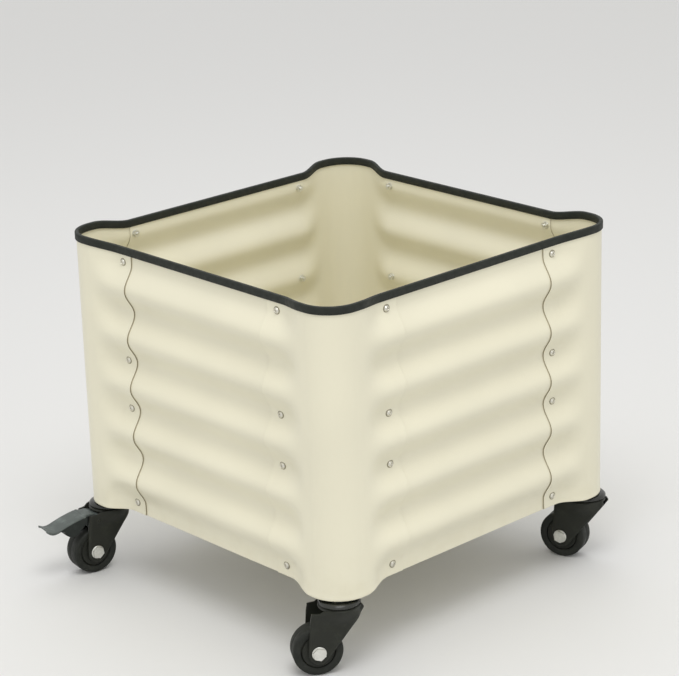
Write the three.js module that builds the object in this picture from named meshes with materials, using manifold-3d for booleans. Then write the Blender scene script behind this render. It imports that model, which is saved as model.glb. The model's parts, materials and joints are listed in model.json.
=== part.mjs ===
// Square rolling planter: corrugated steel walls joined by four rounded
// corner panels, a rubber rim, a drained floor and four swivel casters.
// Millimetres, +Z up. The origin is on the ground under the planter's centre.
import * as THREE from 'three';
import { mergeVertices } from 'three/addons/utils/BufferGeometryUtils.js';
import Module from 'manifold-3d';

const wasm = await Module();
wasm.setup();

// ---------- driving dimensions ----------
const WIDTH = 610;             // across the corner panels' flat outer faces
const WALL_HEIGHT = 439.5;     // side panel sheet, bottom edge to top edge
const BOTTOM_EDGE = 124;       // side panel's bottom edge above the ground
const SHEET = 0.8;             // wall sheet thickness
const LAP_GAP = 0.3;           // paint and air between lapped sheets
const WAVE_PITCH = 80;
const WAVE_DEPTH = 17;
const WAVES = 5;
const BOTTOM_LIP = 17.5;       // flat strip below the first wave
const STEPS_PER_WAVE = 6;
const CORNER_RADIUS = 51;
const CORNER_LEG = 148;        // corner panel's reach along each side
const FADE_START = 60;         // where the corner's plain sheet starts to ripple
const FADE_END = 118;          // where the ripple is full depth
const CORNER_DROP = 5;         // the plain corner is this much lower at the bottom
const CORNER_RISE = 6;         // and this much higher at the top
const LAP = 30;                // side panel hidden under each corner panel
const TRIM = { leg: 12, wall: 1.8, slot: 2.6, web: 2.5 };
const FLOOR = { top: 131, sheet: 1, half: 282.5, skirt: 9.4, skirtHalf: 160, hole: 5 };
const RAIL = { x: 95, width: 32, height: 11, wall: 1.5, half: 268 };
const BRACKET = { reach: 138, inset: 19.5, thick: 2.5, top: 121.3, flangeTop: 152 };
const SWIVEL_AT = 274;         // swivel axis from the planter's centre, in X and Y
const WHEEL = { radius: 38, width: 32, shoulder: 3, hubRadius: 25.7, fit: 0.3, trail: 36 };
const FORK = {
  crownTop: 108, crown: 3, crownRadius: 33, legGap: 18, leg: 2.5,
  flare: 9, flareFrom: 82, leadEdge: -35, rearEdge: 46, dip: 4.5, boss: 18.5,
};
const RACEWAY = { radius: 31.8, bottom: 108.6, top: 118.4, wall: 2.2 };
const STEM = { radius: 6, head: 10, headZ: 100.6, top: 129.2 };
const NUT = { across: 18, height: 5 };
const AXLE = { radius: 4, head: 11, headThick: 5 };
const PEDAL = { pivotS: 30, pivotZ: 91.5, half: 19, neck: 15, thick: 2.5, pin: 2.5 };

// The four corners: which way each lies, and where its caster trails (degrees from +X).
const CORNERS = [
  { name: 'front_left', x: -1, y: -1, trail: 260, brake: true },
  { name: 'front_right', x: 1, y: -1, trail: 238, brake: false },
  { name: 'back_right', x: 1, y: 1, trail: 199, brake: false },
  { name: 'back_left', x: -1, y: 1, trail: 80, brake: true },
];

const paint = (color, roughness = 0.6, metalness = 0) =>
  new THREE.MeshStandardMaterial({ color, roughness, metalness });
const CREAM = paint(0xe6e1cd);
const RUBBER = paint(0x1c1d1c, 0.8);
const BLACK_STEEL = paint(0x262a28, 0.5, 0.4);
const GREY_STEEL = paint(0x8f938f, 0.4, 0.8);
const ZINC = paint(0xc9ccc6, 0.35, 0.9);
const PEDAL_GREY = paint(0x4c5452, 0.5);

const part = new THREE.Group();
part.name = 'rolling_planter';
function add(name, geometry, material) {
  const mesh = new THREE.Mesh(geometry, material);
  mesh.name = name;
  part.add(mesh);
}

// ---------- solid helpers ----------
function toSolid(geometry) {
  geometry.deleteAttribute('normal');
  geometry.deleteAttribute('uv');
  const merged = mergeVertices(geometry, 1e-4);
  return new wasm.Manifold(new wasm.Mesh({
    numProp: 3,
    vertProperties: new Float32Array(merged.attributes.position.array),
    triVerts: new Uint32Array(merged.index.array),
  }));
}

function toGeometry(solid) {
  const mesh = solid.getMesh();
  const geometry = new THREE.BufferGeometry();
  geometry.setAttribute('position', new THREE.BufferAttribute(mesh.vertProperties, 3));
  geometry.setIndex(new THREE.BufferAttribute(mesh.triVerts, 1));
  geometry.computeVertexNormals();
  return geometry;
}

const box = (x0, x1, y0, y1, z0, z1) => toSolid(
  new THREE.BoxGeometry(x1 - x0, y1 - y0, z1 - z0)
    .translate((x0 + x1) / 2, (y0 + y1) / 2, (z0 + z1) / 2));

// Prism: an outline in XY, raised from z0 to z1.
function prism(points, z0, z1) {
  const shape = new THREE.Shape(points.map(([x, y]) => new THREE.Vector2(x, y)));
  return toSolid(new THREE.ExtrudeGeometry(shape, { depth: z1 - z0, bevelEnabled: false })
    .translate(0, 0, z0));
}

const cylinder = (radius, z0, z1, sides = 24) => toSolid(
  new THREE.CylinderGeometry(radius, radius, z1 - z0, sides)
    .rotateX(Math.PI / 2).translate(0, 0, (z0 + z1) / 2));

const hexagon = (across, z0, z1) => cylinder(across / Math.sqrt(3), z0, z1, 6);

const circlePoints = (cx, cy, radius, sides, from = 0, sweep = 360) =>
  Array.from({ length: sides + (sweep < 360 ? 1 : 0) }, (_, i) => {
    const a = THREE.MathUtils.degToRad(from + sweep * i / sides);
    return [cx + radius * Math.cos(a), cy + radius * Math.sin(a)];
  });

// A solid turned about Z from an (r, z) outline.
function turned(outline, sides = 20) {
  const points = outline.map(([r, z]) => new THREE.Vector2(r, z));
  points.push(points[0].clone());
  return new THREE.LatheGeometry(points, sides).rotateX(Math.PI / 2);
}

// ---------- the corrugated wall ----------
const HALF = WIDTH / 2;
const VALLEY = HALF - WAVE_DEPTH;    // valley plane of the outer sheets

// Heights of the sheet's rows above its bottom edge.
const ROWS = [0, BOTTOM_LIP];
for (let i = 1; i <= WAVES * STEPS_PER_WAVE; i++) {
  ROWS.push(BOTTOM_LIP + WAVE_PITCH * i / STEPS_PER_WAVE);
}
ROWS.push(WALL_HEIGHT);

// How far the sheet stands out from the valley plane at a height above its bottom edge.
function ripple(height) {
  const turn = (height - BOTTOM_LIP) / WAVE_PITCH;
  return turn <= 0 || turn >= WAVES ? 0 : WAVE_DEPTH * (1 - Math.cos(2 * Math.PI * turn)) / 2;
}

// 0 on the plain corner, 1 where the ripple is full; t runs in from the corner plane.
const fade = (t) => THREE.MathUtils.smoothstep(t, FADE_START, FADE_END);

// Outer surface of a corner panel, in its own corner's +X +Y quarter.
// t < 0 runs along the X side, t > 0 along the Y side, and |t| is the distance
// along the path from the middle of the bend.
const BEND = CORNER_RADIUS * Math.PI / 2;
function cornerPoint(t, height, inward) {
  const arc = Math.abs(t) <= BEND / 2;
  const along = arc ? 0 : Math.abs(t) - BEND / 2 + CORNER_RADIUS;
  const f = arc ? 0 : fade(along);
  const z = BOTTOM_EDGE + height
    + (1 - f) * (-CORNER_DROP + (CORNER_DROP + CORNER_RISE) * height / WALL_HEIGHT);
  const centre = HALF - CORNER_RADIUS;
  if (arc) {
    const angle = Math.PI / 4 + t / CORNER_RADIUS;
    const r = CORNER_RADIUS - inward;
    return [centre + r * Math.cos(angle), centre + r * Math.sin(angle), z];
  }
  const out = HALF - f * (WAVE_DEPTH - ripple(height)) - inward;
  return t > 0 ? [HALF - along, out, z] : [out, HALF - along, z];
}

// A closed sheet: columns by rows, front and back faces a thickness apart.
function sheet(columns, rows, place) {
  const geometry = new THREE.BoxGeometry(1, 1, 1, columns.length - 1, rows.length - 1, 1);
  const position = geometry.attributes.position;
  for (let i = 0; i < position.count; i++) {
    const column = columns[Math.round((position.getX(i) + 0.5) * (columns.length - 1))];
    const row = rows[Math.round((position.getY(i) + 0.5) * (rows.length - 1))];
    position.setXYZ(i, ...place(column, row, position.getZ(i) > 0 ? 0 : SHEET));
  }
  return geometry;
}

// Turn a quarter's geometry to its own corner.
const quarterTurn = (corner) =>
  Math.atan2(corner.y, corner.x) - Math.PI / 4;

// Where the fade is drawn, measured in from the corner plane.
const FADE_STATIONS = [FADE_END, 98, 79];
const LEG_COLUMNS = [CORNER_LEG, ...FADE_STATIONS].map((a) => a - CORNER_RADIUS + BEND / 2);
const BEND_STEPS = 5;
const BEND_COLUMNS = Array.from({ length: BEND_STEPS + 1 }, (_, i) =>
  BEND * (i / BEND_STEPS - 0.5));
const CORNER_COLUMNS = [...LEG_COLUMNS.map((t) => -t), ...BEND_COLUMNS,
  ...LEG_COLUMNS.toReversed()];

for (const corner of CORNERS) {
  const geometry = sheet(CORNER_COLUMNS, ROWS, cornerPoint);
  add(`corner_panel_${corner.name}`, toGeometry(
    toSolid(geometry.rotateZ(quarterTurn(corner)))), CREAM);
}

// Side panels lie just inside the corner panels and reach under them.
const SIDE_HALF = HALF - CORNER_LEG + LAP;
const SIDE_FACE = VALLEY - SHEET - LAP_GAP;
const SIDES = { front: 0, right: 90, back: 180, left: 270 };
for (const [name, turn] of Object.entries(SIDES)) {
  const geometry = sheet([-SIDE_HALF, SIDE_HALF], ROWS, (x, height, inward) =>
    [x, -(SIDE_FACE + ripple(height) - inward), BOTTOM_EDGE + height]);
  add(`side_panel_${name}`, toGeometry(
    toSolid(geometry.rotateZ(THREE.MathUtils.degToRad(turn)))), CREAM);
}

// ---------- rubber rim ----------
// U section round the whole rim, butted at the middle of the back side.
function rimStations() {
  const offsets = [];
  const middle = SHEET + LAP_GAP / 2;           // middle of the lapped sheets
  // One side of the square, in the +Y quarter going from -X to +X.
  const reach = FADE_STATIONS.map((t) => HALF - t);
  const side = [...reach.toReversed().map((x) => -x), ...reach];
  for (let quarter = 0; quarter < 4; quarter++) {
    const turn = -quarter * Math.PI / 2;
    const place = (x, y, nx, ny, lift) => {
      const c = Math.cos(turn), s = Math.sin(turn);
      offsets.push({ x: c * x - s * y, y: s * x + c * y,
        nx: c * nx - s * ny, ny: s * nx + c * ny, lift });
    };
    const line = quarter === 0 ? side.filter((x) => x > 0) : side;
    if (quarter === 0) place(0.3, VALLEY - middle, 0, 1, 0);
    for (const x of line) {
      const t = HALF - Math.abs(x);
      place(x, HALF - WAVE_DEPTH * fade(t) - middle, 0, 1, CORNER_RISE * (1 - fade(t)));
    }
    const centre = HALF - CORNER_RADIUS;
    for (let i = 0; i <= BEND_STEPS; i++) {
      const a = Math.PI / 2 * (1 - i / BEND_STEPS);
      const r = CORNER_RADIUS - middle;
      place(centre + r * Math.cos(a), centre + r * Math.sin(a),
        Math.cos(a), Math.sin(a), CORNER_RISE);
    }
  }
  for (const x of side.filter((v) => v < 0)) {
    const t = HALF - Math.abs(x);
    offsets.push({ x, y: HALF - WAVE_DEPTH * fade(t) - middle, nx: 0, ny: 1,
      lift: CORNER_RISE * (1 - fade(t)) });
  }
  offsets.push({ x: -0.3, y: VALLEY - middle, nx: 0, ny: 1, lift: 0 });
  return offsets;
}

function sweep(stations, section) {
  const vertices = stations.flatMap(({ x, y, nx, ny, lift }) =>
    section.flatMap(([n, z]) => [x + nx * n, y + ny * n, z + lift]));
  const count = section.length;
  const index = [];
  for (let i = 0; i + 1 < stations.length; i++) {
    for (let j = 0; j < count; j++) {
      const a = i * count + j, b = i * count + (j + 1) % count;
      index.push(a, b, a + count, b, b + count, a + count);
    }
  }
  const cap = THREE.ShapeUtils.triangulateShape(
    section.map(([n, z]) => new THREE.Vector2(n, z)), []);
  const last = (stations.length - 1) * count;
  for (const [a, b, c] of cap) index.push(a, c, b, last + a, last + b, last + c);
  const geometry = new THREE.BufferGeometry();
  geometry.setAttribute('position', new THREE.Float32BufferAttribute(vertices, 3));
  geometry.setIndex(index);
  return geometry;
}

const RIM = BOTTOM_EDGE + WALL_HEIGHT;
const slotHalf = TRIM.slot / 2;
const trimHalf = slotHalf + TRIM.wall;
const trimTop = RIM + TRIM.web;
const trimFoot = trimTop - TRIM.leg;
const TRIM_SECTION = [
  [-trimHalf, trimFoot], [-slotHalf, trimFoot], [-slotHalf, RIM + 0.3],
  [slotHalf, RIM + 0.3], [slotHalf, trimFoot], [trimHalf, trimFoot],
  [trimHalf, trimTop - 1], [trimHalf - 1, trimTop], [1 - trimHalf, trimTop],
  [-trimHalf, trimTop - 1],
];
add('edge_trim', toGeometry(toSolid(sweep(rimStations(), TRIM_SECTION))), RUBBER);

// ---------- floor and rails ----------
function floorHalf(side) {
  const { half, top, sheet: thick, skirt, skirtHalf, hole } = FLOOR;
  const seam = 0.3;
  const lobe = CORNER_RADIUS - 3.5;         // follows the corner's bend
  const centre = HALF - CORNER_RADIUS;
  const outline = [
    [seam, -half], [198, -half], [243, -HALF + 3.5],
    ...circlePoints(centre, -centre, lobe, 4, -90, 90),
    [HALF - 3.5, -243], [half, -198], [half, 198], [HALF - 3.5, 243],
    ...circlePoints(centre, centre, lobe, 4, 0, 90),
    [243, HALF - 3.5], [198, half], [seam, half],
  ];
  const low = top - skirt, high = top - thick / 2;
  const skirts = [
    box(seam, skirtHalf, -half, -half + thick, low, high),
    box(seam, skirtHalf, half - thick, half, low, high),
    box(half - thick, half, -skirtHalf, skirtHalf, low, high),
  ];
  const holes = [];
  for (const x of [48, 144, 236]) {
    for (const y of [-210, -70, 70, 210]) {
      holes.push(cylinder(hole, top - 3, top + 2, 8).translate([x, y, 0]));
    }
  }
  const pan = prism(outline, top - thick, top).add(wasm.Manifold.union(skirts))
    .subtract(wasm.Manifold.union(holes));
  return side > 0 ? pan : pan.rotate([0, 0, 180]);
}
add('floor_panel_right', toGeometry(floorHalf(1)), CREAM);
add('floor_panel_left', toGeometry(floorHalf(-1)), CREAM);

// Channels under the floor, open side down, one under each half.
for (const [name, side] of [['right', 1], ['left', -1]]) {
  const x0 = side * RAIL.x - RAIL.width / 2, x1 = x0 + RAIL.width;
  const top = FLOOR.top - FLOOR.sheet - LAP_GAP;
  const channel = box(x0, x1, -RAIL.half, RAIL.half, top - RAIL.height, top)
    .subtract(box(x0 + RAIL.wall, x1 - RAIL.wall, -RAIL.half - 1, RAIL.half + 1,
      top - RAIL.height - 1, top - RAIL.wall));
  add(`base_rail_${name}`, toGeometry(channel), GREY_STEEL);
}

// ---------- corner brackets ----------
// In the +X +Y quarter; u and v run in from the two corner planes.
function bracket() {
  const { reach, inset, thick, top, flangeTop } = BRACKET;
  const arm = 96;
  const plan = [
    [arm, inset + 2], [arm, 76], [76, arm], [inset + 2, arm], [3, 60],
    ...circlePoints(CORNER_RADIUS, CORNER_RADIUS, CORNER_RADIUS - 3, 5, 180, 90),
    [60, 3],
  ].map(([u, v]) => [HALF - u, HALF - v]).toReversed();
  let solid = prism(plan, top - thick, top);
  // The flange climbs from the plate to stay behind the wall's bottom edge.
  const low = BOTTOM_EDGE + 0.6;
  const flange = prism([
    [88, top - thick], [arm - 1, top - thick], [arm + 6, low], [reach, low],
    [reach, flangeTop], [110, flangeTop], [110, FLOOR.top - 2], [102, FLOOR.top - 2],
    [88, top - 0.5],
  ].map(([u, z]) => [HALF - u, z]).toReversed(), inset, inset + thick)
    .rotate([90, 0, 0]).translate([0, HALF, 0]);
  solid = solid.add(flange).add(flange.mirror([1, -1, 0]));
  return solid.subtract(
    cylinder(STEM.radius + 0.4, 0, 200, 16).translate([SWIVEL_AT, SWIVEL_AT, 0]));
}
for (const corner of CORNERS) {
  add(`corner_bracket_${corner.name}`,
    toGeometry(bracket().rotate([0, 0, THREE.MathUtils.radToDeg(quarterTurn(corner))])),
    BLACK_STEEL);
}

// ---------- casters ----------
// Built in the caster's own frame: the swivel axis is Z, +X trails, Y is across.
const alongY = (solid) => solid.rotate([90, 0, 0]);   // XY outline to an XZ one

function fork() {
  const { crownTop, crown, crownRadius, legGap, leg, flare, flareFrom,
    leadEdge, rearEdge, dip, boss } = FORK;
  const axleZ = WHEEL.radius;
  const outline = [
    [leadEdge + 2, crownTop], [leadEdge, crownTop - 6],
    ...circlePoints(WHEEL.trail, axleZ, boss, 6, 207, 153),
    [rearEdge + 1, crownTop - 16], [rearEdge, crownTop - dip],
    [rearEdge - 14, crownTop - dip], [rearEdge - 18, crownTop],
  ];
  const reach = legGap + leg + flare + 3;
  const face = alongY(prism(outline, -reach, reach));
  const bent = [
    [legGap, 0], [legGap + leg, 0], [legGap + leg, flareFrom],
    [legGap + leg + flare, crownTop], [legGap + flare, crownTop], [legGap, flareFrom + 1],
  ];
  // The bend profile is drawn as (y, z) and run along X.
  const run = (mirror) => prism(
    bent.map(([y, z]) => [mirror * y, z])[mirror > 0 ? 'slice' : 'toReversed'](), -60, 60)
    .rotate([90, 0, 0]).rotate([0, 0, 90]);
  let solid = run(1).add(run(-1)).intersect(face);
  solid = solid.add(cylinder(crownRadius, crownTop - crown, crownTop, 24));
  solid = solid.subtract(cylinder(STEM.radius + 0.4, 0, 200, 16));
  return solid.subtract(alongY(cylinder(AXLE.radius + 0.4, -60, 60, 16))
    .translate([WHEEL.trail, 0, axleZ]));
}

const racewayCap = turned([
  [STEM.radius + 0.4, RACEWAY.top - RACEWAY.wall], [RACEWAY.radius - 4, RACEWAY.top - RACEWAY.wall],
  [RACEWAY.radius - RACEWAY.wall, RACEWAY.bottom + 3], [RACEWAY.radius - RACEWAY.wall, RACEWAY.bottom],
  [RACEWAY.radius, RACEWAY.bottom], [RACEWAY.radius, RACEWAY.bottom + 4],
  [RACEWAY.radius - 3, RACEWAY.top], [STEM.radius + 0.4, RACEWAY.top],
]);

const stem = turned([
  [0, STEM.headZ], [STEM.head, STEM.headZ], [STEM.head, STEM.headZ + 3.8],
  [STEM.radius, STEM.headZ + 3.8], [STEM.radius, STEM.top - 1], [STEM.radius - 1, STEM.top],
  [0, STEM.top],
], 16);

function onAxle(solid) {
  return alongY(solid).translate([WHEEL.trail, 0, WHEEL.radius]);
}
const half = WHEEL.width / 2;
const tyre = toSolid(turned([
  [WHEEL.hubRadius + WHEEL.fit, -half + 2], [WHEEL.radius - WHEEL.shoulder, -half],
  [WHEEL.radius, -half + WHEEL.shoulder], [WHEEL.radius, half - WHEEL.shoulder],
  [WHEEL.radius - WHEEL.shoulder, half], [WHEEL.hubRadius + WHEEL.fit, half - 2],
], 32));
const hub = toSolid(turned([
  [AXLE.radius + 0.3, -half - 1], [9, -half - 1], [9, -half + 4],
  [WHEEL.hubRadius, -half + 4], [WHEEL.hubRadius, half - 4],
  [9, half - 4], [9, half + 1], [AXLE.radius + 0.3, half + 1],
], 24));
const legFace = FORK.legGap + FORK.leg;
const axleBolt = cylinder(AXLE.radius, -legFace - 8.5, legFace + 0.5, 16)
  .add(cylinder(AXLE.head, legFace + 0.4, legFace + 0.4 + AXLE.headThick, 12));
const axleNut = hexagon(13, -legFace - 6.8, -legFace - 0.4)
  .subtract(cylinder(AXLE.radius + 0.15, -60, 60, 16));

// Pedal outline seen from the side: hub on the pivot pin, top plate running
// out past the wheel, raised toe, side cheeks and the shoe.
function pedal() {
  const { pivotS, pivotZ, half: wide, neck, thick, pin } = PEDAL;
  const top = [[34, 102.5], [54, 103.6], [80, 97.5], [103, 89.8], [112, 89.2], [121, 93.5]];
  const under = top.map(([s, z]) => [s, z - thick]).toReversed();
  const plate = prism([[24, 101.5], ...under.toReversed().map(([s, z]) => [s, z]),
    ...top.toReversed(), [26, 103.5]], -wide, wide);
  const cheeks = prism([[40, 99], [54, 88], [92, 84], [104, 87], ...top.slice(0, 4).toReversed()],
    -wide, wide).subtract(prism([[20, 60], [130, 60], [130, 120], [20, 120]], -wide + 2.5, wide - 2.5));
  const body = prism([
    ...circlePoints(pivotS, pivotZ, 8, 10, 100, 170), [36, 80], [44, 79], [48, 84],
    [48, 99], [30, 102.5],
  ], -neck, neck);
  // The brake shoe hangs behind the wheel and swings onto the tread.
  const shoe = prism([[56, 102], [62, 81], [67, 74], [73, 72], [81, 73.5], [88, 79], [93, 92]],
    -neck, neck);
  const keepNeck = prism([[0, 50], [52, 50], [52, 130], [0, 130]], -40, 40)
    .subtract(prism([[-1, 49], [53, 49], [53, 131], [-1, 131]], -neck, neck));
  return alongY(plate.add(cheeks).add(shoe).add(body).subtract(keepNeck)
    .subtract(cylinder(pin + 0.3, -40, 40, 12).translate([pivotS, pivotZ, 0])));
}
const pedalPin = alongY(cylinder(PEDAL.pin, -legFace - 5, legFace + 5, 12))
  .translate([PEDAL.pivotS, 0, PEDAL.pivotZ]);
const pinHole = alongY(cylinder(PEDAL.pin + 0.3, -60, 60, 12))
  .translate([PEDAL.pivotS, 0, PEDAL.pivotZ]);

for (const corner of CORNERS) {
  const seat = (solid) => toGeometry(solid
    .rotate([0, 0, corner.trail])
    .translate([corner.x * SWIVEL_AT, corner.y * SWIVEL_AT, 0]));
  const name = (piece) => `${piece}_${corner.name}`;
  add(name('raceway_cap'), seat(toSolid(racewayCap.clone())), BLACK_STEEL);
  add(name('stem'), seat(toSolid(stem.clone())), ZINC);
  add(name('stem_nut'), seat(hexagon(NUT.across, BRACKET.top + 0.3, BRACKET.top + 0.3 + NUT.height)
    .subtract(cylinder(STEM.radius + 0.15, 0, 200, 16))), ZINC);
  add(name('fork'), seat(corner.brake ? fork().subtract(pinHole) : fork()), BLACK_STEEL);
  add(name('tyre'), seat(onAxle(tyre)), RUBBER);
  add(name('wheel_hub'), seat(onAxle(hub)), BLACK_STEEL);
  add(name('axle_bolt'), seat(onAxle(axleBolt)), ZINC);
  add(name('axle_nut'), seat(onAxle(axleNut)), ZINC);
  if (corner.brake) {
    add(name('brake_pedal'), seat(pedal()), PEDAL_GREY);
    add(name('pedal_pin'), seat(pedalPin), ZINC);
  }
}

export default part;
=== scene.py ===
"""Looks of a rolling planter: corrugated cream walls, rubber rim, casters.

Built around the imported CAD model. Metres, +Z up, origin on the ground under
the planter's centre. Lengths written with MM are millimetres.
"""
import json
import math

import bmesh
import bpy
import numpy as np
from mathutils import Matrix, Vector


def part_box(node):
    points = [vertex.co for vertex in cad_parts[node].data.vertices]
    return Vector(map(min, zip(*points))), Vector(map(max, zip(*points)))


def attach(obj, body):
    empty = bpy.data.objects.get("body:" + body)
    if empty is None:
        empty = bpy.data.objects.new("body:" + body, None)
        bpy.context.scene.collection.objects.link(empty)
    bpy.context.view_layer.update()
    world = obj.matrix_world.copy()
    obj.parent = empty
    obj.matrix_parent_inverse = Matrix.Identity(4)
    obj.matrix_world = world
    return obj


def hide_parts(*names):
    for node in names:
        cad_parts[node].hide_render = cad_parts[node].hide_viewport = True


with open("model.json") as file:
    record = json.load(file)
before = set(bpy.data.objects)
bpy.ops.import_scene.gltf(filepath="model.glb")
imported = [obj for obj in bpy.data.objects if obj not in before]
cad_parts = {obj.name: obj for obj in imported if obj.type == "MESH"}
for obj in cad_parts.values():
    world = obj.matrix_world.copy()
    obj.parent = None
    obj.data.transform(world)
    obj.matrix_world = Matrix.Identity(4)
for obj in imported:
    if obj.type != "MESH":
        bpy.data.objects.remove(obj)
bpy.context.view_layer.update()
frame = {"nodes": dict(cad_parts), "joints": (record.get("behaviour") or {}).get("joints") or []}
MM = 0.001
CORNERS = ("front_left", "front_right", "back_right", "back_left")
SIDES = ("front", "right", "back", "left")
JOINTS = {joint["name"]: joint for joint in frame["joints"]}

# ---------- sizes read from the frame ----------
corner_lo, corner_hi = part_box("corner_panel_back_right")
side_lo, side_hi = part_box("side_panel_front")
trim_lo, trim_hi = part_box("edge_trim")
HALF = corner_hi.x                    # to the corner panels' flat outer faces
BOTTOM = side_lo.z                    # side panels' bottom edge
RIM = side_hi.z                       # side panels' top edge
WALL = RIM - BOTTOM
CORNER_DROP = side_lo.z - corner_lo.z
CORNER_RISE = corner_hi.z - side_hi.z
CORNER_LEG = corner_hi.x - corner_lo.x
SIDE_HALF = side_hi.x
SIDE_CREST = -side_lo.y               # outermost line of a side panel

# ---------- driving sizes of the wall, as in the CAD ----------
SHEET = 0.8 * MM
WAVE_PITCH = 80 * MM
WAVE_DEPTH = 17 * MM
WAVES = 5
BOTTOM_LIP = 17.5 * MM
RADIUS = 51 * MM
FADE_START = 60 * MM
FADE_END = 118 * MM
BOLT_INSET = 128 * MM                 # bolt column, in from the corner plane
BOLT_VALLEYS = (0, 2, 3, 5)           # waves counted up to each bolt's valley
VALLEY = HALF - WAVE_DEPTH


# ---------- materials ----------
class Paint:
    """A node material with short helpers for procedural detail."""

    def __init__(self, name, color, roughness, metallic=0.0):
        self.material = bpy.data.materials.new(name)
        self.material.use_nodes = True
        self.material.diffuse_color = (*color, 1)
        self.tree = self.material.node_tree
        self.shader = self.tree.nodes["Principled BSDF"]
        self.set("Base Color", (*color, 1))
        self.set("Roughness", roughness)
        self.set("Metallic", metallic)
        coordinates = self.tree.nodes.new("ShaderNodeTexCoord")
        self.place = coordinates.outputs["Object"]

    def set(self, socket, value):
        self.shader.inputs[socket].default_value = value

    def link(self, output, target):
        self.tree.links.new(output, target)

    def noise(self, scale, detail=3.0, rough=0.55):
        node = self.tree.nodes.new("ShaderNodeTexNoise")
        node.inputs["Scale"].default_value = scale
        node.inputs["Detail"].default_value = detail
        node.inputs["Roughness"].default_value = rough
        self.link(self.place, node.inputs["Vector"])
        return node.outputs["Fac"]

    def cells(self, scale):
        """A different colour in each of a crowd of small cells."""
        node = self.tree.nodes.new("ShaderNodeTexVoronoi")
        node.inputs["Scale"].default_value = scale
        self.link(self.place, node.inputs["Vector"])
        return node.outputs["Color"]

    def ramp(self, factor, low, high, start=0.0, end=1.0):
        node = self.tree.nodes.new("ShaderNodeMapRange")
        for socket, value in (("From Min", low), ("From Max", high),
                              ("To Min", start), ("To Max", end)):
            node.inputs[socket].default_value = value
        self.link(factor, node.inputs["Value"])
        return node.outputs["Result"]

    def mix(self, factor, first, second):
        node = self.tree.nodes.new("ShaderNodeMix")
        node.data_type = "RGBA"
        self.link(factor, node.inputs["Factor"])
        for socket, value in (("A", first), ("B", second)):
            target = [i for i in node.inputs if i.name == socket and i.type == "RGBA"][0]
            if isinstance(value, tuple):
                target.default_value = (*value, 1)
            else:
                self.link(value, target)
        return [o for o in node.outputs if o.type == "RGBA"][0]

    def height(self):
        """Height above the ground, in metres."""
        node = self.tree.nodes.new("ShaderNodeSeparateXYZ")
        self.link(self.place, node.inputs["Vector"])
        return node.outputs["Z"]

    def bump(self, fields):
        """Stack of (field, strength, distance) bumps, finest last."""
        normal = None
        for field, strength, distance in fields:
            node = self.tree.nodes.new("ShaderNodeBump")
            node.inputs["Strength"].default_value = strength
            node.inputs["Distance"].default_value = distance
            self.link(field, node.inputs["Height"])
            if normal:
                self.link(normal, node.inputs["Normal"])
            normal = node.outputs["Normal"]
        self.link(normal, self.shader.inputs["Normal"])


def shade(color, factor):
    return tuple(min(1.0, c * factor) for c in color)


def powder_coat(name, color):
    """Semi-gloss coat: orange peel, faint cloudiness, a little dust low down."""
    paint = Paint(name, color, 0.38)
    cloudy = paint.mix(paint.ramp(paint.noise(5, 2), 0.35, 0.65),
                       shade(color, 0.975), shade(color, 1.02))
    dusty = tuple(c * t for c, t in zip(color, (0.88, 0.85, 0.78)))
    low = paint.ramp(paint.height(), BOTTOM + 0.07, BOTTOM - 0.005, 0, 0.3)
    patchy = paint.tree.nodes.new("ShaderNodeMath")
    patchy.operation = "MULTIPLY"
    paint.link(low, patchy.inputs[0])
    paint.link(paint.ramp(paint.noise(38, 4), 0.4, 0.7), patchy.inputs[1])
    paint.link(paint.mix(patchy.outputs[0], cloudy, dusty),
               paint.shader.inputs["Base Color"])
    paint.link(paint.ramp(paint.noise(22, 4), 0.3, 0.7, 0.33, 0.45),
               paint.shader.inputs["Roughness"])
    paint.set("Coat Weight", 0.15)
    paint.set("Coat Roughness", 0.25)
    paint.bump([(paint.noise(420, 2), 0.09, 0.0006),
                (paint.noise(9, 1), 0.12, 0.004)])
    return paint.material


def black_coat(name, color, roughness=0.42, peel=900, specular=0.25):
    """Satin black paint or moulding with fine grain and rubbed patches."""
    paint = Paint(name, color, roughness)
    paint.set("Specular IOR Level", specular)
    rubbed = paint.ramp(paint.noise(60, 5, rough=0.65), 0.52, 0.75)
    paint.link(paint.mix(rubbed, color, shade(color, 1.7)),
               paint.shader.inputs["Base Color"])
    paint.link(paint.ramp(paint.noise(90, 4), 0.3, 0.7, roughness - 0.07, roughness + 0.1),
               paint.shader.inputs["Roughness"])
    paint.bump([(paint.noise(peel, 3), 0.14, 0.0004)])
    return paint.material


def rubber(name, color, dust=0.25):
    """Matt rubber: fine grain with a dusty bloom."""
    paint = Paint(name, color, 0.62)
    paint.set("Specular IOR Level", 0.25)
    bloom = paint.ramp(paint.noise(45, 5, rough=0.7), 0.45, 0.8, 0, dust)
    paint.link(paint.mix(bloom, color, (0.1, 0.1, 0.085)),
               paint.shader.inputs["Base Color"])
    paint.link(paint.ramp(paint.noise(120, 3), 0.3, 0.7, 0.5, 0.72),
               paint.shader.inputs["Roughness"])
    paint.bump([(paint.noise(1400, 2), 0.2, 0.0003)])
    return paint.material


def zinc(name, color, roughness=0.28):
    """Bright plated steel with faint clouding."""
    paint = Paint(name, color, roughness, 1.0)
    paint.link(paint.mix(paint.ramp(paint.noise(180, 3), 0.35, 0.7),
                         shade(color, 0.86), color), paint.shader.inputs["Base Color"])
    paint.link(paint.ramp(paint.noise(260, 4), 0.3, 0.7, roughness - 0.08, roughness + 0.14),
               paint.shader.inputs["Roughness"])
    paint.bump([(paint.noise(1500, 2), 0.06, 0.0002)])
    return paint.material


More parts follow.
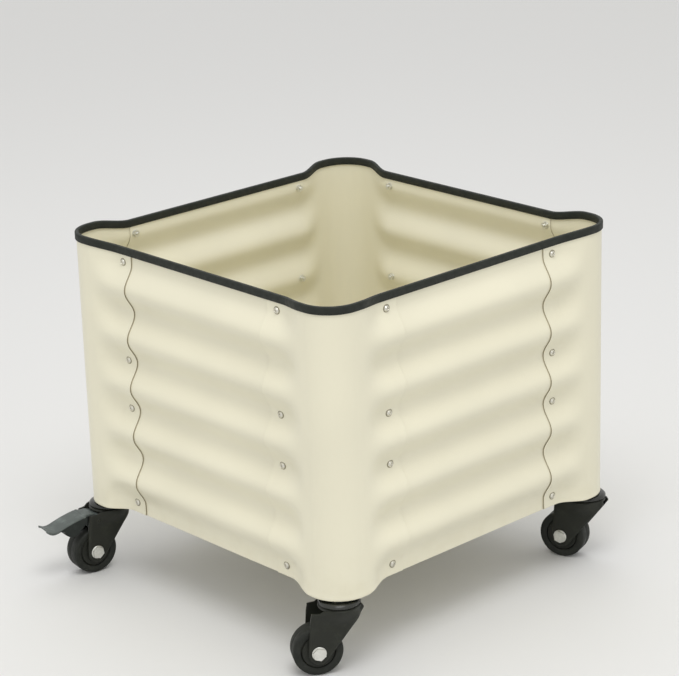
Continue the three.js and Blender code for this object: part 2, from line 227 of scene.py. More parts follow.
def galvanised(name, color):
    """Dull galvanised sheet with a crystal spangle."""
    paint = Paint(name, color, 0.45, 0.9)
    spangle = paint.cells(95)
    bright = paint.tree.nodes.new("ShaderNodeRGBToBW")
    paint.link(spangle, bright.inputs["Color"])
    paint.link(paint.mix(bright.outputs["Val"], shade(color, 0.72), shade(color, 1.15)),
               paint.shader.inputs["Base Color"])
    paint.link(paint.ramp(bright.outputs["Val"], 0, 1, 0.35, 0.55),
               paint.shader.inputs["Roughness"])
    paint.bump([(paint.noise(300, 3), 0.08, 0.0004)])
    return paint.material


CREAM = powder_coat("cream_powder_coat", (0.8, 0.765, 0.6))
# Cut sheet edges: a raw steel tone, made darker still so the edges at the laps read as a dark line,
# which is partly painted shade.
CUT_EDGE_AND_SHADE = zinc("cut_edge_and_painted_shade", (0.46, 0.41, 0.3), 0.5)
# Darker cream for the painted shadow line along each lap, where the corner panel's edge overhangs
# the side panel.
LAP_SHADOW_PAINT = powder_coat("lap_shadow_line", (0.58, 0.53, 0.385))
TRIM_RUBBER = rubber("rim_rubber", (0.02, 0.0235, 0.019), 0.12)
TYRE_RUBBER = rubber("tyre_rubber", (0.017, 0.019, 0.0155), 0.12)
BLACK = black_coat("black_steel_paint", (0.016, 0.0175, 0.0125), 0.38, 900, 0.3)
CAP_BLACK = black_coat("race_cap_enamel", (0.013, 0.014, 0.0105), 0.24, 700, 0.6)
HUB_BLACK = black_coat("hub_moulding", (0.018, 0.0195, 0.015), 0.48)
PEDAL_GREY = black_coat("pedal_moulding", (0.085, 0.1, 0.095), 0.5, 1300, 0.35)
SHOE_BLACK = black_coat("brake_shoe_moulding", (0.02, 0.024, 0.022), 0.55, 1300)
ZINC = zinc("bright_zinc", (0.84, 0.84, 0.79), 0.34)
SCREW_STEEL = zinc("panel_screw_steel", (0.8, 0.78, 0.7), 0.3)
# A dark washer under each screw head. Its darkness stands for the shade ring round the head, so it
# is partly painted shade.
WASHER_AND_SHADE_RING = rubber("screw_washer_and_shade_ring", (0.3, 0.28, 0.205), 0.1)
GALVANISED = galvanised("galvanised_rail", (0.5, 0.52, 0.53))


# ---------- mesh helpers ----------
def make(name, points, faces, materials, body, replaces=(), sharp=35, indices=None):
    """A smooth-shaded mesh with its hard edges marked, riding on a CAD body."""
    mesh = bpy.data.meshes.new(name)
    mesh.from_pydata([tuple(p) for p in points], [], [tuple(f) for f in faces])
    for material in materials:
        mesh.materials.append(material)
    if indices is not None:
        mesh.polygons.foreach_set("material_index", indices)
    work = bmesh.new()
    work.from_mesh(mesh)
    for face in work.faces:
        face.smooth = True
    for edge in work.edges:
        angle = edge.calc_face_angle(0)
        edge.smooth = angle < math.radians(sharp)
    work.to_mesh(mesh)
    work.free()
    piece = bpy.data.objects.new(name, mesh)
    bpy.context.scene.collection.objects.link(piece)
    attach(piece, body)
    if replaces:
        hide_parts(*replaces)
    return piece


def bevelled(piece, width, segments=2, angle=30):
    modifier = piece.modifiers.new("bevel", "BEVEL")
    modifier.width = width
    modifier.segments = segments
    modifier.limit_method = "ANGLE"
    modifier.angle_limit = math.radians(angle)
    modifier.harden_normals = True
    return piece


def smoothstep(x, low, high):
    t = np.clip((np.asarray(x, float) - low) / (high - low), 0, 1)
    return t * t * (3 - 2 * t)


class Mesh:
    """Collects closed shells into one piece."""

    def __init__(self):
        self.points, self.faces, self.kinds = [], [], []

    def add(self, points, faces, kind=0, move=None):
        start = len(self.points)
        points = [Vector(p) for p in points]
        if move is not None:
            points = [move @ p for p in points]
        self.points += points
        self.faces += [[start + i for i in face] for face in faces]
        self.kinds += [kind] * len(faces)

    def turned(self, outline, steps=48, kind=0, move=None):
        """A closed (r, z) outline turned about Z. Points at r 0 close the ends."""
        points, faces = [], []
        rings = []
        for r, z in outline:
            if r < 1e-9:
                rings.append([len(points)])
                points.append((0, 0, z))
                continue
            rings.append(list(range(len(points), len(points) + steps)))
            for i in range(steps):
                a = 2 * math.pi * i / steps
                points.append((r * math.cos(a), r * math.sin(a), z))
        pairs = list(zip(rings, rings[1:]))
        if len(rings[0]) > 1 and len(rings[-1]) > 1:
            pairs.append((rings[-1], rings[0]))
        for a, b in pairs:
            for i in range(steps):
                j = (i + 1) % steps
                quad = [a[i % len(a)], a[j % len(a)], b[j % len(b)], b[i % len(b)]]
                face = list(dict.fromkeys(quad))
                if len(face) > 2:
                    faces.append(face)
        self.add(points, faces, kind, move)

    def prism(self, outline, z0, z1, kind=0, move=None):
        count = len(outline)
        points = [(x, y, z) for z in (z0, z1) for x, y in outline]
        faces = [list(range(count))[::-1], list(range(count, 2 * count))]
        faces += [[i, (i + 1) % count, count + (i + 1) % count, count + i]
                  for i in range(count)]
        self.add(points, faces, kind, move)

    def shell(self, outer, inner, kind=0, edge_kind=None, move=None):
        """A closed sheet between two equal grids of points, rows by columns."""
        rows, columns = outer.shape[:2]
        points = list(outer.reshape(-1, 3)) + list(inner.reshape(-1, 3))
        back = rows * columns
        at = lambda i, j: i * columns + j
        faces = []
        for i in range(rows - 1):
            for j in range(columns - 1):
                quad = [at(i, j), at(i, j + 1), at(i + 1, j + 1), at(i + 1, j)]
                faces.append(quad)
                faces.append([back + q for q in quad[::-1]])
        kinds = [kind] * len(faces)
        for j in range(columns - 1):
            faces.append([at(0, j + 1), at(0, j), back + at(0, j), back + at(0, j + 1)])
            faces.append([at(rows - 1, j), at(rows - 1, j + 1),
                          back + at(rows - 1, j + 1), back + at(rows - 1, j)])
        kinds += [kind] * (2 * (columns - 1))
        for i in range(rows - 1):
            faces.append([at(i, 0), at(i + 1, 0), back + at(i + 1, 0), back + at(i, 0)])
            faces.append([at(i + 1, columns - 1), at(i, columns - 1),
                          back + at(i, columns - 1), back + at(i + 1, columns - 1)])
        kinds += [kind if edge_kind is None else edge_kind] * (2 * (rows - 1))
        self.add(points, faces, kind, move)
        self.kinds[len(self.kinds) - len(kinds):] = kinds

    def piece(self, name, materials, body, slot, replaces=(), sharp=35):
        """Makes the piece, with every shell's faces turned outwards."""
        piece = make(name, self.points, self.faces, materials, body,
                     replaces, sharp, self.kinds)
        work = bmesh.new()
        work.from_mesh(piece.data)
        bmesh.ops.recalc_face_normals(work, faces=work.faces)
        work.to_mesh(piece.data)
        work.free()
        return piece


def circle(cx, cy, radius, steps, start=0.0, sweep=360.0):
    last = steps + (1 if sweep < 360 else 0)
    return [(cx + radius * math.cos(math.radians(start + sweep * i / steps)),
             cy + radius * math.sin(math.radians(start + sweep * i / steps)))
            for i in range(last)]


# ---------- corrugated walls ----------
def ripple(height):
    """How far the sheet stands out from its valley plane."""
    turn = (np.asarray(height) - BOTTOM_LIP) / WAVE_PITCH
    wave = WAVE_DEPTH * (1 - np.cos(2 * np.pi * turn)) / 2
    return np.where((turn <= 0) | (turn >= WAVES), 0, wave)


def wall_rows():
    wave = BOTTOM_LIP + np.linspace(0, WAVES * WAVE_PITCH, WAVES * 18 + 1)
    low = np.array([0, 0.6, 1.6, 3.2, 5.5, 9, 13]) * MM
    high = np.linspace(wave[-1], WALL, 6)[1:]
    return np.concatenate([low, wave, high])


def hem(height):
    """The bottom edge is folded under, so it stands a little proud."""
    fold = 0.55 * MM * (1 - smoothstep(height, 3.2 * MM, 6 * MM))
    rounded = 0.35 * MM * (1 - smoothstep(height, 0, 1.6 * MM))
    return fold - rounded


BEND = RADIUS * math.pi / 2           # length of sheet in a corner's bend


def corner_point(path, height, inward):
    """A corner panel's surface in the +X +Y quarter, from the X side to the Y side."""
    along = max(abs(path) - BEND / 2, 0) + RADIUS
    in_bend = abs(path) <= BEND / 2
    f = 0.0 if in_bend else smoothstep(along, FADE_START, FADE_END)
    z = BOTTOM + height + (1 - f) * (
        -CORNER_DROP + (CORNER_DROP + CORNER_RISE) * height / WALL)
    lip = 0.7 * MM * smoothstep(along, CORNER_LEG - 4 * MM, CORNER_LEG)
    proud = hem(height) + lip - inward
    centre = HALF - RADIUS
    if in_bend:
        angle = math.pi / 4 + path / RADIUS
        r = RADIUS + proud
        x, y = centre + r * math.cos(angle), centre + r * math.sin(angle)
        return np.stack([np.full_like(height, x), np.full_like(height, y), z], -1)
    out = HALF - f * (WAVE_DEPTH - ripple(height)) + proud
    run = np.full_like(height, HALF - along)
    return np.stack([run, out, z] if path > 0 else [out, run, z], -1)


def corner_columns():
    leg = np.concatenate([
        np.array([0, 1.2, 3, 6, 12, 20]) * MM,
        CORNER_LEG - np.linspace(FADE_END, FADE_START, 20),
        [CORNER_LEG - RADIUS - 1e-6]])
    end = CORNER_LEG - RADIUS + BEND / 2
    leg = leg - end
    bend = np.linspace(-BEND / 2, BEND / 2, 25)
    return np.concatenate([leg, bend, -leg[::-1]])


def quarter(corner):
    """Turns the +X +Y quarter to its own corner."""
    lo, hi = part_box(f"corner_panel_{corner}")
    middle = (lo + hi) / 2
    return Matrix.Rotation(math.atan2(middle.y, middle.x) - math.pi / 4, 4, "Z")


ROWS = wall_rows()
for corner in CORNERS:
    grid = [np.stack([corner_point(p, ROWS, inward) for p in corner_columns()], 1)
            for inward in (0.0, SHEET)]
    panel = Mesh()
    panel.shell(*grid, edge_kind=1, move=quarter(corner))
    panel.piece(f"corner_sheet_{corner}", [CREAM, CUT_EDGE_AND_SHADE], "planter",
                "cream_sheet", [f"corner_panel_{corner}"])

LAP_AT = HALF - CORNER_LEG            # where the corner panel's edge crosses a side panel
LAP_SHADOW_HALF = 1.2 * MM                  # half the width of the painted shadow line under it


def side_columns():
    shadow_line_edges = [LAP_AT - LAP_SHADOW_HALF, LAP_AT + LAP_SHADOW_HALF]
    plain = [x for x in np.linspace(-SIDE_HALF, SIDE_HALF, 37)
             if abs(abs(x) - LAP_AT) > 3 * MM]
    return np.array(sorted([-x for x in shadow_line_edges] + shadow_line_edges + plain))


def side_grid(i, columns, inward):
    """The surface of side panel i, facing -Y."""
    out = SIDE_CREST - WAVE_DEPTH + ripple(ROWS) + hem(ROWS) * 0.6 - inward
    # Thin sheet is never dead flat: a slow sway of a few tenths of a millimetre.
    sway = 0.25 * MM * np.sin(columns[None, :] * 17 + i) * np.cos(ROWS[:, None] * 9 + 2 * i)
    sway *= 1 - smoothstep(np.abs(columns), 0.1, 0.15)[None, :]
    x = np.broadcast_to(columns[None, :], sway.shape)
    z = np.broadcast_to((BOTTOM + ROWS)[:, None], sway.shape)
    return np.stack([x, -(out[:, None] + sway), z], -1)


for i, side in enumerate(SIDES):
    columns = side_columns()
    panel = Mesh()
    panel.shell(side_grid(i, columns, 0.0), side_grid(i, columns, SHEET), edge_kind=1,
                move=Matrix.Rotation(i * math.pi / 2, 4, "Z"))
    bays = len(columns) - 1
    middles = np.abs(columns[:-1] + columns[1:]) / 2
    # Faces come in pairs, the outer one first. The outer ones on the lap take the painted shadow
    # line.
    for j in np.flatnonzero(np.abs(middles - LAP_AT) < 1 * MM):
        for k in range(len(ROWS) - 1):
            panel.kinds[2 * (k * bays + j)] = 2
    panel.piece(f"side_sheet_{side}", [CREAM, CUT_EDGE_AND_SHADE, LAP_SHADOW_PAINT], "planter",
                "cream_sheet", [f"side_panel_{side}"])

# ---------- panel screws, washers and nuts ----------
SCREW = {"radius": 4.9 * MM, "height": 3.1 * MM, "socket": 2.3 * MM, "depth": 1.9 * MM}
NUT_AT = SHEET * 2 + 0.3 * MM         # behind the two lapped sheets
FLANGE = 2.5 * MM + 0.3 * MM          # the lowest screw also holds the bracket's flange


def hexagon(across, turn=0.0):
    """A hexagon given by its size across the flats."""
    return circle(0, 0, across / math.sqrt(3), 6, 30 + turn)


def screw_head(mesh, move):
    r, h = SCREW["radius"], SCREW["height"]
    s, d = SCREW["socket"], SCREW["depth"]
    w = r + 1.5 * MM
    # The first ring is the washer, kept dark as painted shade round the head.
    mesh.turned([(0, 0.01 * MM), (w, 0.01 * MM), (w, 0.5 * MM), (w - 0.5 * MM, 0.9 * MM),
                 (0, 0.9 * MM)], 24, 1, move)
    mesh.turned([(0, 0.8 * MM), (r, 0.8 * MM), (r, 1 * MM), (r * 0.97, 1.3 * MM),
                 (r * 0.86, 2.1 * MM), (r * 0.68, 2.75 * MM), (s * 1.35, h),
                 (s * 1.12, h - 0.08 * MM), (s, h - 0.45 * MM), (s * 0.98, h - d), (0, h - d)],
                24, 0, move)


def wall_frame(side_index, x, height, out):
    """Z points out of the wall at a spot on it."""
    spot = Matrix.Translation((x, -out, BOTTOM + height))
    return (Matrix.Rotation(side_index * math.pi / 2, 4, "Z") @ spot
            @ Matrix.Rotation(math.pi / 2, 4, "X"))


for i, side in enumerate(SIDES):
    heads, nuts = Mesh(), Mesh()
    for x in (-(HALF - BOLT_INSET), HALF - BOLT_INSET):
        for valley in BOLT_VALLEYS:
            height = BOTTOM_LIP + valley * WAVE_PITCH
            at = wall_frame(i, x, height, VALLEY)
            screw_head(heads, at)
            inner = NUT_AT + (FLANGE if valley == 0 else 0)
            back = at @ Matrix.Translation((0, 0, -inner))
            nuts.turned([(3.1 * MM, 0), (6 * MM, 0), (6 * MM, -0.9 * MM),
                         (3.1 * MM, -0.9 * MM)], 24, 0, back)
            back = back @ Matrix.Rotation(0.7 * valley + x, 4, "Z")
            nuts.prism(hexagon(10 * MM), -5.2 * MM, -1 * MM, 0, back)
            nuts.turned([(0, -5.3 * MM), (2.9 * MM, -5.3 * MM), (2.9 * MM, -6.6 * MM),
                         (2.4 * MM, -7.2 * MM), (0, -7.2 * MM)], 20, 0, back)
    heads.piece(f"panel_screws_{side}", [SCREW_STEEL, WASHER_AND_SHADE_RING], "planter", "zinc")
    bevelled(nuts.piece(f"panel_nuts_{side}", [ZINC], "planter", "zinc"), 0.3 * MM)

# ---------- rubber rim ----------
TRIM_WALL = 1.8 * MM
SLOT_HALF = 1.3 * MM
TRIM_MIDDLE = SHEET + 0.15 * MM       # middle of the two lapped sheets, in from the face


def rim_path():
    """Points along the middle of the sheets' top edge, once round."""
    leg = np.concatenate([np.linspace(0.3 * MM, HALF - FADE_END, 8),
                          HALF - np.linspace(FADE_END, FADE_START, 18)[1:]])
    half_side = [(x, HALF - WAVE_DEPTH * smoothstep(HALF - x, FADE_START, FADE_END)
                  - TRIM_MIDDLE,
                  CORNER_RISE * (1 - smoothstep(HALF - x, FADE_START, FADE_END)))
                 for x in leg]
    centre, r = HALF - RADIUS, RADIUS - TRIM_MIDDLE
    bend = [(centre + r * math.cos(a), centre + r * math.sin(a), CORNER_RISE)
            for a in np.linspace(math.pi / 2, math.pi / 4, 11)]
    eighth = half_side + bend
    mirrored = [(y, x, z) for x, y, z in eighth[::-1][1:]]
    quarter_path = np.array(eighth + mirrored)
    path = []
    for turn in range(4):
        c, s = math.cos(-turn * math.pi / 2), math.sin(-turn * math.pi / 2)
        spin = np.array([[c, -s, 0], [s, c, 0], [0, 0, 1]])
        points = quarter_path @ spin.T
        path.append(points if turn == 3 else points[:-1])
    return np.concatenate(path)


def trim_section():
    """Rounded U, as (out, up from the sheet's edge)."""
    out, top = SLOT_HALF + TRIM_WALL, trim_hi.z - RIM - CORNER_RISE
    foot = -(trim_hi.z - trim_lo.z - CORNER_RISE - top)
    r = 1.7 * MM
    left = [(-out + r - r * math.cos(a), top - r + r * math.sin(a))
            for a in np.linspace(0, math.pi / 2, 6)]
    right = [(-x, z) for x, z in left[::-1]]
    lip = 0.45 * MM
    return ([(-SLOT_HALF, 0.3 * MM), (-SLOT_HALF, foot + lip), (-SLOT_HALF - lip, foot),
             (-out + lip, foot), (-out, foot + lip)] + left + right
            + [(out, foot + lip), (out - lip, foot), (SLOT_HALF + lip, foot),
               (SLOT_HALF, foot + lip), (SLOT_HALF, 0.3 * MM)])


path = rim_path()
tangent = np.gradient(path[:, :2], axis=0)
tangent /= np.linalg.norm(tangent, axis=1)[:, None]
outward = np.stack([-tangent[:, 1], tangent[:, 0]], 1)
section = trim_section()
rings = np.array([[(x + nx * o, y + ny * o, RIM + lift + up) for o, up in section]
                  for (x, y, lift), (nx, ny) in zip(path, outward)])
rim = Mesh()
count = len(section)
faces = [[k * count + j, k * count + (j + 1) % count,
          (k + 1) * count + (j + 1) % count, (k + 1) * count + j]
         for k in range(len(path) - 1) for j in range(count)]
faces += [list(range(count))[::-1],
          [(len(path) - 1) * count + j for j in range(count)]]
rim.add(rings.reshape(-1, 3), faces)
rim.piece("rim_trim", [TRIM_RUBBER], "planter", "rim_rubber", ["edge_trim"], sharp=50)

# ---------- floor, rails and brackets keep their CAD shape ----------
def finish_cad(node, material, bevel):
    piece = frame["nodes"][node]
    piece.data.materials.clear()
    piece.data.materials.append(material)
    modifier = piece.modifiers.new("bevel", "BEVEL")
    modifier.width = bevel
    modifier.segments = 2
    modifier.limit_method = "ANGLE"
    modifier.angle_limit = math.radians(40)


for hand in ("left", "right"):
    finish_cad(f"floor_panel_{hand}", CREAM, 0.2 * MM)
    finish_cad(f"base_rail_{hand}", GALVANISED, 0.4 * MM)
for corner in CORNERS:
    finish_cad(f"corner_bracket_{corner}", BLACK, 0.4 * MM)

DRAIN_X = (48 * MM, 144 * MM, 236 * MM)
DRAIN_Y = (-210 * MM, -70 * MM, 70 * MM, 210 * MM)
RIVET_Y = np.linspace(-240 * MM, 240 * MM, 5)

# Pressed eyelets line the drain holes, and rivets hold the pans to the rails.
floor_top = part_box("floor_panel_right")[1].z
rail_lo, rail_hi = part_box("base_rail_right")
rail_x = (rail_lo.x + rail_hi.x) / 2
for hand, sign in (("right", 1), ("left", -1)):
    eyelets, rivets = Mesh(), Mesh()
    for x in DRAIN_X:
        for y in DRAIN_Y:
            at = Matrix.Translation((sign * x, sign * y, floor_top))
            eyelets.turned([(4.4 * MM, 0.3 * MM), (4.9 * MM, 0.9 * MM), (6.2 * MM, 1.1 * MM),
                            (8.2 * MM, 0.5 * MM), (8.8 * MM, 0.02 * MM), (4.4 * MM, 0.02 * MM)],
                           24, 0, at)
    for y in RIVET_Y:
        at = Matrix.Translation((sign * rail_x, y, floor_top))
        rivets.turned([(0, 0.02 * MM), (4.2 * MM, 0.02 * MM), (3.9 * MM, 0.7 * MM),
                       (2.6 * MM, 1.3 * MM), (1.1 * MM, 1.5 * MM), (0, 1.1 * MM)], 20, 0, at)
    eyelets.piece(f"drain_eyelets_{hand}", [CREAM], "planter", "cream_sheet")
    rivets.piece(f"floor_rivets_{hand}", [ZINC], "planter", "zinc")

# ---------- casters ----------
WHEEL_R = 38 * MM
WHEEL_HALF = 16 * MM
AXLE_Z = WHEEL_R                      # the wheel stands on the ground
LEG_OUT = 20.5 * MM                   # the leg's outer face, where it is flat
LEG_THICK = 2.5 * MM
LEG_TOP = 107 * MM
LEAD_ANGLE = 207                      # where the leading edge leaves the leg's round end
LEAD_TOP = (-35 * MM, 102 * MM)       # and where it ends, as (along, up)
REAR_TOP = ((47 * MM, 92 * MM), (45.5 * MM, 103.5 * MM))    # top of the rear edge
BOSS = 18.5 * MM                      # the leg's round end
BOSS_REAR = 15.5 * MM                 # the leg is cut closer behind the axle
FLARE_FROM = 76 * MM                  # the leg spreads from here up to the crown
CROWN_TOP = 108 * MM
CROWN_R = 32.2 * MM
AXLE_HEAD = 11 * MM                   # radius of the axle bolt's flange
THREAD_PITCH = 1.75 * MM
THREAD_FROM = 119.5 * MM              # lowest turn of the stem's thread


def caster_frame(corner):
    """Local axes: Z is the swivel, X trails, Y runs across."""
    swivel = Vector(JOINTS[f"swivel_{corner}"]["pos_m"])
    axle = Vector(JOINTS[f"roll_{corner}"]["pos_m"])
    trail = axle - swivel
    turn = math.atan2(trail.y, trail.x)
    place = Matrix.Translation((swivel.x, swivel.y, 0)) @ Matrix.Rotation(turn, 4, "Z")
    return place, Vector((trail.x, trail.y)).length


def leg_grids(trail):
    """Outer and inner surface of the leg on the +Y side."""
    leave = math.radians(LEAD_ANGLE)
    lead_low = (trail + BOSS * math.cos(leave), AXLE_Z + BOSS * math.sin(leave))
    (rear_s, rear_z), (rear_top_s, rear_top_z) = REAR_TOP
    heights = np.concatenate([
        np.linspace(LEG_TOP, 78 * MM, 16), np.linspace(75 * MM, AXLE_Z, 12),
        AXLE_Z - BOSS * np.sin(np.radians([10, 20, 32, 44, 56, 66, 75, 82, 87]))])
    across = np.concatenate([[0, 0.012, 0.03, 0.06, 0.1], np.linspace(0.16, 0.84, 11),
                             [0.9, 0.94, 0.97, 0.988, 1]])
    outer = np.zeros((len(heights), len(across), 3))
    inner = outer.copy()
    for i, z in enumerate(heights):
        chord = math.sqrt(max(BOSS ** 2 - (AXLE_Z - z) ** 2, 0))
        if z >= LEAD_TOP[1]:
            lead = LEAD_TOP[0] + (z - LEAD_TOP[1]) * 0.6
        elif z >= lead_low[1]:
            lead = np.interp(z, [lead_low[1], LEAD_TOP[1]], [lead_low[0], LEAD_TOP[0]])
        else:
            lead = trail - chord
        if z >= AXLE_Z:
            rear = np.interp(z, [AXLE_Z, rear_z, rear_top_z],
                             [trail + BOSS_REAR, rear_s, rear_top_s])
        else:
            rear = trail + BOSS_REAR / BOSS * chord
        s = lead + (rear - lead) * across
        # Behind the crown the leg's top edge steps down.
        dip = 4.5 * MM * smoothstep(s, 25 * MM, 34 * MM) * smoothstep(z, 92 * MM, LEG_TOP)
        height = z - dip
        # At its top the leg follows the crown's edge, then closes in towards the rear.
        round_top = np.where(s < 0, np.sqrt(np.clip(CROWN_R ** 2 - s ** 2, (13 * MM) ** 2, None)),
                             CROWN_R - 10 * MM * smoothstep(s, 0, 46 * MM))
        flare = smoothstep(height, FLARE_FROM, LEG_TOP)
        out = LEG_OUT + (round_top - 0.4 * MM - LEG_OUT) * flare
        # The cut edges are rolled inwards.
        width = max(rear - lead, 1e-6)
        edge = np.minimum(across, 1 - across) * width
        rolled = 1.3 * MM * (1 - smoothstep(edge, 0, 3.5 * MM))
        bottom = 1.3 * MM * (1 - smoothstep(z, AXLE_Z - BOSS, AXLE_Z - BOSS + 3 * MM))
        out = out - np.maximum(rolled, bottom)
        # A raised ring stiffens the leg round the axle.
        away = np.hypot(s - trail, height - AXLE_Z)
        out = out + 0.6 * MM * (1 - smoothstep(away, AXLE_HEAD + 0.8 * MM, AXLE_HEAD + 2.2 * MM))
        outer[i, :, 0], outer[i, :, 1], outer[i, :, 2] = s, out, height
        inner[i, :, 0], inner[i, :, 1], inner[i, :, 2] = s, out - LEG_THICK, height
    return outer, inner


def build_fork(corner, place, trail):
    fork = Mesh()
    outer, inner = leg_grids(trail)
    flip = np.array([1, -1, 1])
    fork.shell(outer, inner, move=place)
    fork.shell(outer * flip, inner * flip, move=place)
    top, low = CROWN_TOP, CROWN_TOP - 3 * MM
    fork.turned([(6.6 * MM, low), (22 * MM, low), (25 * MM, low - 0.1 * MM),
                 (CROWN_R - 1.4 * MM, low - 1.2 * MM), (CROWN_R, low - 0.8 * MM),
                 (CROWN_R + 0.2 * MM, low + 0.4 * MM), (CROWN_R - 0.4 * MM, top - 1.6 * MM),
                 (CROWN_R - 2 * MM, top - 0.3 * MM), (CROWN_R - 3.5 * MM, top),
                 (23 * MM, top), (21 * MM, top - 0.9 * MM), (18 * MM, top - 0.9 * MM),
                 (16 * MM, top), (6.6 * MM, top)], 72, 0, place)
    fork.piece(f"caster_fork_{corner}", [BLACK], f"caster_{corner}", "black_steel",
               [f"fork_{corner}"])


def build_race(corner, place):
    lo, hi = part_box(f"raceway_cap_{corner}")
    r, top, low = (hi.x - lo.x) / 2, hi.z, lo.z
    cap = Mesh()
    # A raised seat meets the bracket. The shoulder round it is lower, with a bead at its rim.
    cap.turned([(6.5 * MM, top), (17 * MM, top), (19 * MM, top - 0.8 * MM),
                (20 * MM, top - 2 * MM), (21.5 * MM, top - 2.8 * MM), (r - 7 * MM, top - 3 * MM),
                (r - 4.6 * MM, top - 3.4 * MM), (r - 2.6 * MM, top - 4.3 * MM),
                (r - 1.4 * MM, top - 5.3 * MM), (r - 1.2 * MM, top - 5.8 * MM),
                (r - 0.4 * MM, top - 6.4 * MM), (r, top - 7.3 * MM), (r, top - 8.4 * MM),
                (r - 0.4 * MM, low + 0.5 * MM), (r - 1.1 * MM, low), (r - 2 * MM, low + 0.4 * MM),
                (r - 2.2 * MM, low + 2.2 * MM), (r - 5 * MM, top - 5.6 * MM),
                (17 * MM, top - 5 * MM), (14 * MM, top - 2.2 * MM), (6.5 * MM, top - 2.2 * MM)],
               72, 0, place)
    cap.piece(f"race_cap_{corner}", [CAP_BLACK], "planter", "black_steel",
              [f"raceway_cap_{corner}"], sharp=45)


def build_stem(corner, place):
    lo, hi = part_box(f"stem_{corner}")
    nut_lo, nut_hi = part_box(f"stem_nut_{corner}")
    stem = Mesh()
    r = 6 * MM
    thread = []
    z = THREAD_FROM
    while z + THREAD_PITCH < hi.z - 0.6 * MM:
        thread += [(r, z), (r - 0.7 * MM, z + THREAD_PITCH / 2)]
        z += THREAD_PITCH
    stem.turned([(0, lo.z), (8 * MM, lo.z), (9.6 * MM, lo.z + 0.8 * MM), (10 * MM, lo.z + 1.8 * MM),
                 (9.6 * MM, lo.z + 3.8 * MM), (r, lo.z + 3.8 * MM)] + thread
                + [(r, hi.z - 1 * MM), (r - 1 * MM, hi.z), (0, hi.z)], 32, 0, place)
    stem.piece(f"caster_stem_{corner}", [ZINC], "planter", "zinc", [f"stem_{corner}"])
    nut = Mesh()
    nut.prism(hexagon(18 * MM), nut_lo.z + 1.2 * MM, nut_hi.z, 0, place)
    nut.turned([(6.6 * MM, nut_lo.z), (11.5 * MM, nut_lo.z), (11.5 * MM, nut_lo.z + 1.1 * MM),
                (6.6 * MM, nut_lo.z + 1.1 * MM)], 32, 0, place)
    bevelled(nut.piece(f"caster_nut_{corner}", [ZINC], "planter", "zinc",
                       [f"stem_nut_{corner}"]), 0.5 * MM)


def axle_frame(place, trail):
    """Z runs along the axle, towards the caster's +Y side."""
    return (place @ Matrix.Translation((trail, 0, AXLE_Z))
            @ Matrix.Rotation(-math.pi / 2, 4, "X"))


def build_wheel(corner, place, trail):
    at = axle_frame(place, trail)
    w, r, bore = WHEEL_HALF, WHEEL_R, 26 * MM
    side = [(bore, w - 2 * MM), (27 * MM, w - 1.1 * MM), (29 * MM, w - 0.5 * MM),
            (32 * MM, w - 0.2 * MM), (r - 3.8 * MM, w), (r - 2.4 * MM, w - 0.35 * MM),
            (r - 1.2 * MM, w - 1.1 * MM), (r - 0.4 * MM, w - 2.2 * MM), (r, w - 3.6 * MM)]
    tread = side + [(r, 0.5 * MM), (r - 0.25 * MM, 0), (r, -0.5 * MM)]
    outline = tread + [(x, -z) for x, z in side[::-1]]
    tyre = Mesh()
    tyre.turned(outline, 96, 0, at)
    tyre.piece(f"tyre_tread_{corner}", [TYRE_RUBBER], f"wheel_{corner}", "tyre_rubber",
               [f"tyre_{corner}"], sharp=50)
    face = [(4.3 * MM, w + 1 * MM), (8 * MM, w + 1 * MM), (9.4 * MM, w + 0.2 * MM),
            (11 * MM, w - 1.6 * MM), (16 * MM, w - 2.1 * MM), (21 * MM, w - 1.8 * MM),
            (24.1 * MM, w - 1.5 * MM), (24.5 * MM, w - 2.2 * MM), (25.1 * MM, w - 2.8 * MM),
            (25.6 * MM, w - 3.6 * MM)]
    hub = Mesh()
    hub.turned(face + [(x, -z) for x, z in face[::-1]], 96, 0, at)
    hub.piece(f"hub_core_{corner}", [HUB_BLACK], f"wheel_{corner}", "hub_plastic",
              [f"wheel_hub_{corner}"])


def build_axle(corner, place, trail):
    at = axle_frame(place, trail)
    face = LEG_OUT + 0.65 * MM
    bolt = Mesh()
    bolt.turned([(0, face), (AXLE_HEAD, face), (AXLE_HEAD, face + 0.9 * MM),
                 (AXLE_HEAD - 0.8 * MM, face + 1.5 * MM), (0, face + 1.5 * MM)], 40, 0, at)
    head = at @ Matrix.Rotation(math.radians(11), 4, "Z")
    bolt.prism(hexagon(18 * MM), face + 1.2 * MM, face + 4.9 * MM, 0, head)
    bolt.turned([(0, -face - 8.4 * MM), (3.3 * MM, -face - 8.4 * MM),
                 (3.9 * MM, -face - 7.8 * MM), (3.9 * MM, face), (0, face)], 32, 0, at)
    bevelled(bolt.piece(f"axle_screw_{corner}", [ZINC], f"caster_{corner}", "zinc",
                        [f"axle_bolt_{corner}"]), 0.7 * MM, 3)
    nut = Mesh()
    nut.turned([(4.2 * MM, -face), (8.4 * MM, -face), (8.4 * MM, -face - 1 * MM),
                (4.2 * MM, -face - 1 * MM)], 32, 0, at)
    nut.prism(hexagon(13 * MM, 20), -face - 5.4 * MM, -face - 1.1 * MM, 0, at)
    nut.turned([(4.2 * MM, -face - 5.3 * MM), (5.9 * MM, -face - 5.3 * MM),
                (5.4 * MM, -face - 6.8 * MM), (4.2 * MM, -face - 6.8 * MM)], 32, 0, at)
    bevelled(nut.piece(f"axle_locknut_{corner}", [ZINC], f"caster_{corner}", "zinc",
                       [f"axle_nut_{corner}"]), 0.4 * MM)


